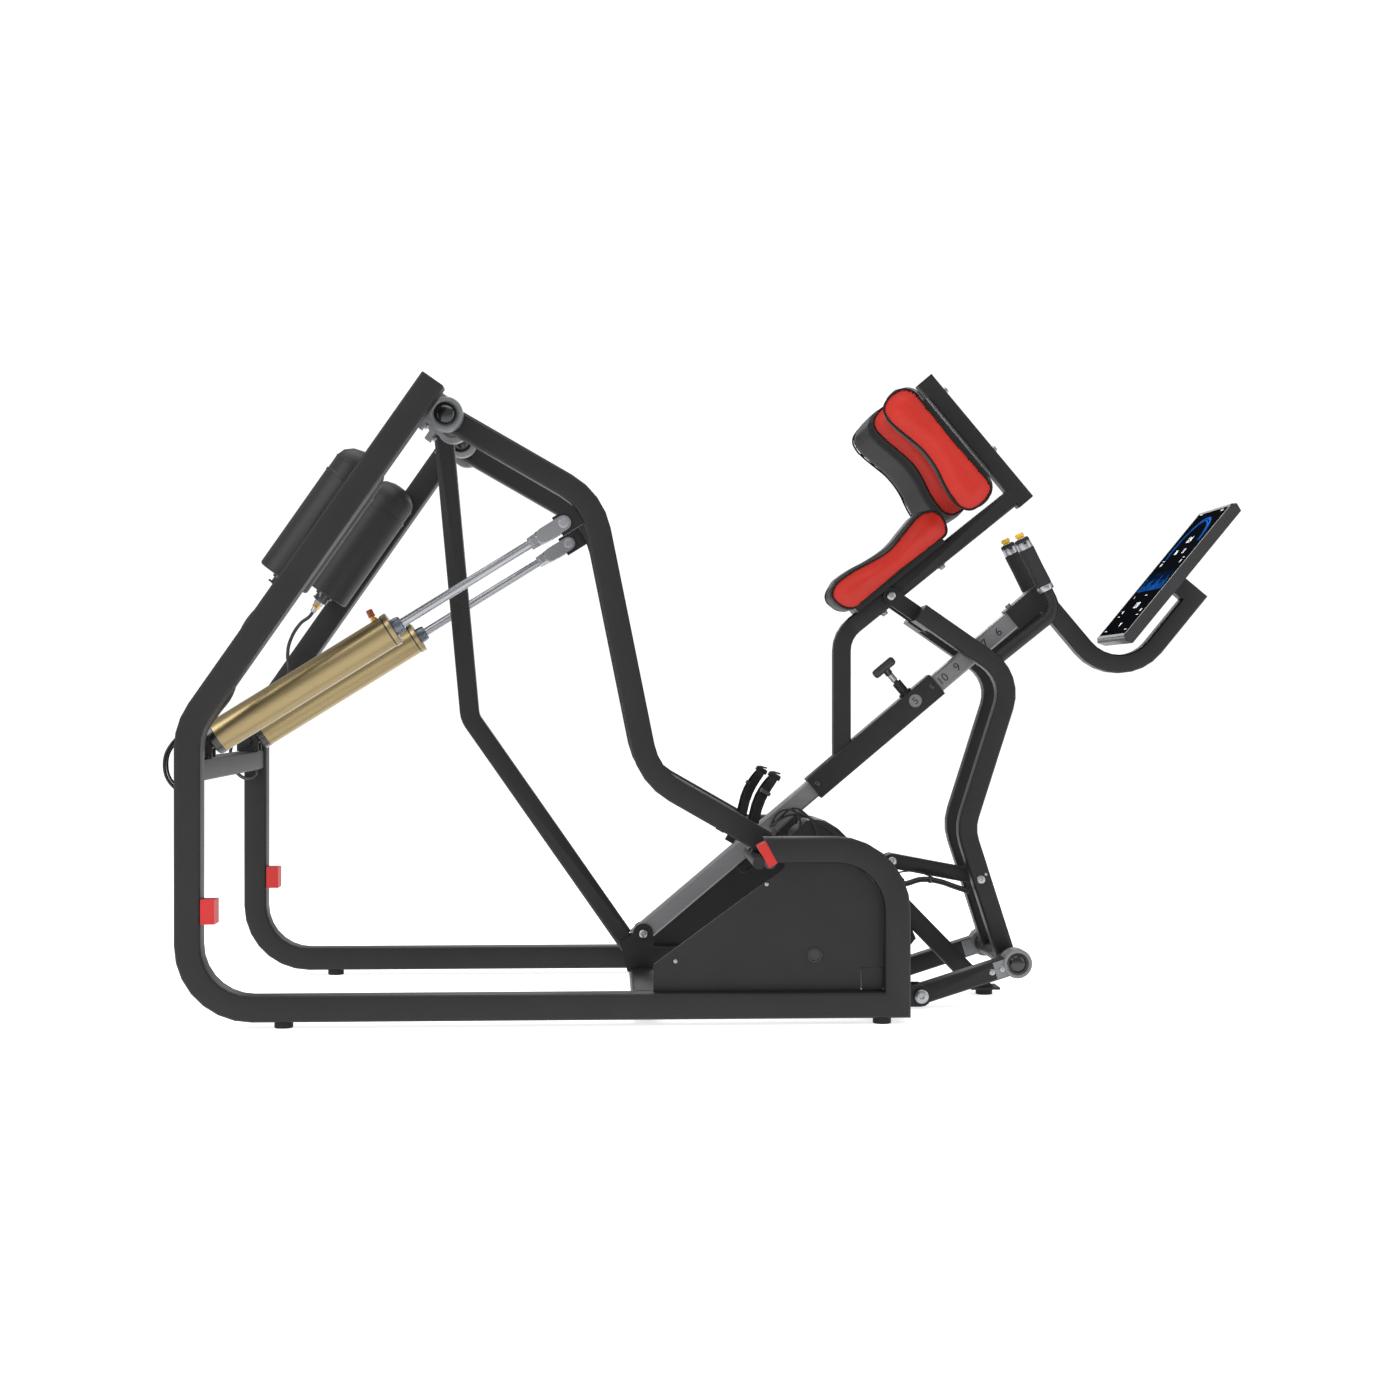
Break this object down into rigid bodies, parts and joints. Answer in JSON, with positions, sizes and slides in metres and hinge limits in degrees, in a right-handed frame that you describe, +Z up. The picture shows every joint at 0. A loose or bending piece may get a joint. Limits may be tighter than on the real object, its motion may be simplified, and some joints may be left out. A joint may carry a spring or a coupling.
{
  "type": "leg press machine",
  "caption": "Standing leg press machine: tube frame, swinging foot pedals with pneumatic cylinders, sliding chest and shoulder pads, handle linkage, hand buttons and a tilted display.",
  "frame": {"origin": "on the floor, under the middle of the machine's outer box", "axes": "+X along the length from the air cylinders to the display, +Y across to the machine's left, +Z up"},
  "size_m": [2.7699, 1.01, 1.6781],
  "materials": {
    "black_powder_coat": "satin black powder coat with a fine texture",
    "grey_satin_steel": "grey satin, with dark marks at each hole",
    "grey_cast_iron": "grey painted casting",
    "zinc_plated_steel": "bright zinc plating",
    "gold_anodised_tube": "dull gold anodising with black end caps",
    "red_upholstery": "red vinyl side panels, black vinyl faces and black piping",
    "red_rubber": "matt red",
    "black_rubber": "matt black",
    "black_plastic": "fine matt black, with a glossy display screen",
    "yellow_plastic": "glossy yellow"
  },
  "bodies": {
    "frame": {"side_frame_right": "black_powder_coat", "side_frame_left": "black_powder_coat", "top_beam": "black_powder_coat", "rear_cross_tube": "black_powder_coat", "floor_cross_tube": "black_powder_coat", "front_subframe": "black_powder_coat", "centre_brace": "black_powder_coat", "cover_right": "black_powder_coat", "cover_left": "black_powder_coat", "foot_rear_right": "black_rubber", "foot_rear_left": "black_rubber", "foot_front_right": "black_rubber", "foot_front_left": "black_rubber", "foot_tail": "black_rubber", "rest_stop_right": "red_rubber", "rest_stop_left": "red_rubber", "press_stop_right": "red_rubber", "press_stop_left": "red_rubber", "bearing_outer_right": "grey_cast_iron", "bearing_outer_left": "grey_cast_iron", "bearing_inner_right": "grey_cast_iron", "bearing_inner_left": "grey_cast_iron", "cylinder_bracket_right": "black_powder_coat", "cylinder_bracket_left": "black_powder_coat", "air_tank_right": "black_powder_coat", "air_tank_left": "black_powder_coat", "tank_hose_right": "black_rubber", "tank_hose_left": "black_rubber", "loop_hose_right": "black_rubber", "loop_hose_left": "black_rubber", "strut": "grey_satin_steel", "display": "black_plastic", "display_arm": "black_powder_coat", "valve_box": "black_plastic", "cable_bundle": "black_rubber"},
    "press_arm_right": {"arm_right": "black_powder_coat", "pedal_right": "black_powder_coat", "foot_strap_right": "black_rubber"},
    "barrel_right": {"cylinder_barrel_right": "gold_anodised_tube"},
    "rod_right": {"cylinder_rod_right": "zinc_plated_steel"},
    "button_right": {"thumb_button_right": "yellow_plastic"},
    "press_arm_left": {"arm_left": "black_powder_coat", "pedal_left": "black_powder_coat", "foot_strap_left": "black_rubber"},
    "barrel_left": {"cylinder_barrel_left": "gold_anodised_tube"},
    "rod_left": {"cylinder_rod_left": "zinc_plated_steel"},
    "button_left": {"thumb_button_left": "yellow_plastic"},
    "carriage": {"pad_carriage": "black_powder_coat", "chest_pad": "red_upholstery", "shoulder_pad_right": "red_upholstery", "shoulder_pad_left": "red_upholstery"},
    "pull_knob": {"pull_pin": "black_plastic"},
    "uprights": {"upright_frame": "black_powder_coat", "grip_right": "black_rubber", "grip_left": "black_rubber"},
    "lower_links": {"lower_link_right": "black_powder_coat", "lower_link_left": "black_powder_coat"},
    "upper_link": {"upper_link": "black_powder_coat"}
  },
  "joints": [
    {"name": "press_right", "type": "hinge", "parent": "frame", "child": "press_arm_right", "pos_m": [-0.698, -0.334, 1.507], "axis": [0, 1, 0], "range_deg": [0, 58]},
    {"name": "barrel_tilt_right", "type": "hinge", "parent": "frame", "child": "barrel_right", "pos_m": [-1.3095, -0.334, 0.681], "axis": [0, 1, 0], "range_deg": [-7.3, 0.1]},
    {"name": "rod_slide_right", "type": "slide", "parent": "barrel_right", "child": "rod_right", "axis": [0.8492, 0, 0.528], "range_m": [-0.368, 0.001]},
    {"name": "press_left", "type": "hinge", "parent": "frame", "child": "press_arm_left", "pos_m": [-0.698, 0.334, 1.507], "axis": [0, 1, 0], "range_deg": [0, 58]},
    {"name": "barrel_tilt_left", "type": "hinge", "parent": "frame", "child": "barrel_left", "pos_m": [-1.3095, 0.334, 0.681], "axis": [0, 1, 0], "range_deg": [-7.3, 0.1]},
    {"name": "rod_slide_left", "type": "slide", "parent": "barrel_left", "child": "rod_left", "axis": [0.8492, 0, 0.528], "range_m": [-0.368, 0.001]},
    {"name": "carriage_slide", "type": "slide", "parent": "frame", "child": "carriage", "axis": [0.7649, 0, 0.6441], "range_m": [-0.097, 0.194]},
    {"name": "pull_knob_slide", "type": "slide", "parent": "carriage", "child": "pull_knob", "axis": [-0.6441, 0, 0.7649], "range_m": [0, 0.014], "stiffness_N_per_m": 600, "springref_m": -0.004},
    {"name": "upright_tilt", "type": "hinge", "parent": "carriage", "child": "uprights", "pos_m": [0.465, 0, 1.077], "axis": [0, 1, 0], "range_deg": [-5.5, 10.9]},
    {"name": "button_right", "type": "slide", "parent": "uprights", "child": "button_right", "axis": [0.4499, 0, -0.8931], "range_m": [0, 0.004], "stiffness_N_per_m": 500, "springref_m": -0.002},
    {"name": "button_left", "type": "slide", "parent": "uprights", "child": "button_left", "axis": [0.4499, 0, -0.8931], "range_m": [0, 0.004], "stiffness_N_per_m": 500, "springref_m": -0.002},
    {"name": "lower_link_swing", "type": "hinge", "parent": "frame", "child": "lower_links", "pos_m": [0.511, 0, 0.034], "axis": [0, 1, 0], "range_deg": [-18.1, 9.1]},
    {"name": "upper_link_swing", "type": "hinge", "parent": "frame", "child": "upper_link", "pos_m": [0.469, 0, 0.363], "axis": [0, 1, 0], "range_deg": [-22.2, 11.2]}
  ],
  "couplings": [
    {"joint": "barrel_tilt_right", "follows": "press_right", "ratio": -0.124},
    {"joint": "rod_slide_right", "follows": "press_right", "m_per_rad": -0.3616},
    {"joint": "barrel_tilt_left", "follows": "press_left", "ratio": -0.124},
    {"joint": "rod_slide_left", "follows": "press_left", "m_per_rad": -0.3616},
    {"joint": "upright_tilt", "follows": "carriage_slide", "rad_per_m": 0.969},
    {"joint": "lower_link_swing", "follows": "carriage_slide", "rad_per_m": -1.614},
    {"joint": "upper_link_swing", "follows": "carriage_slide", "rad_per_m": -1.981}
  ]
}
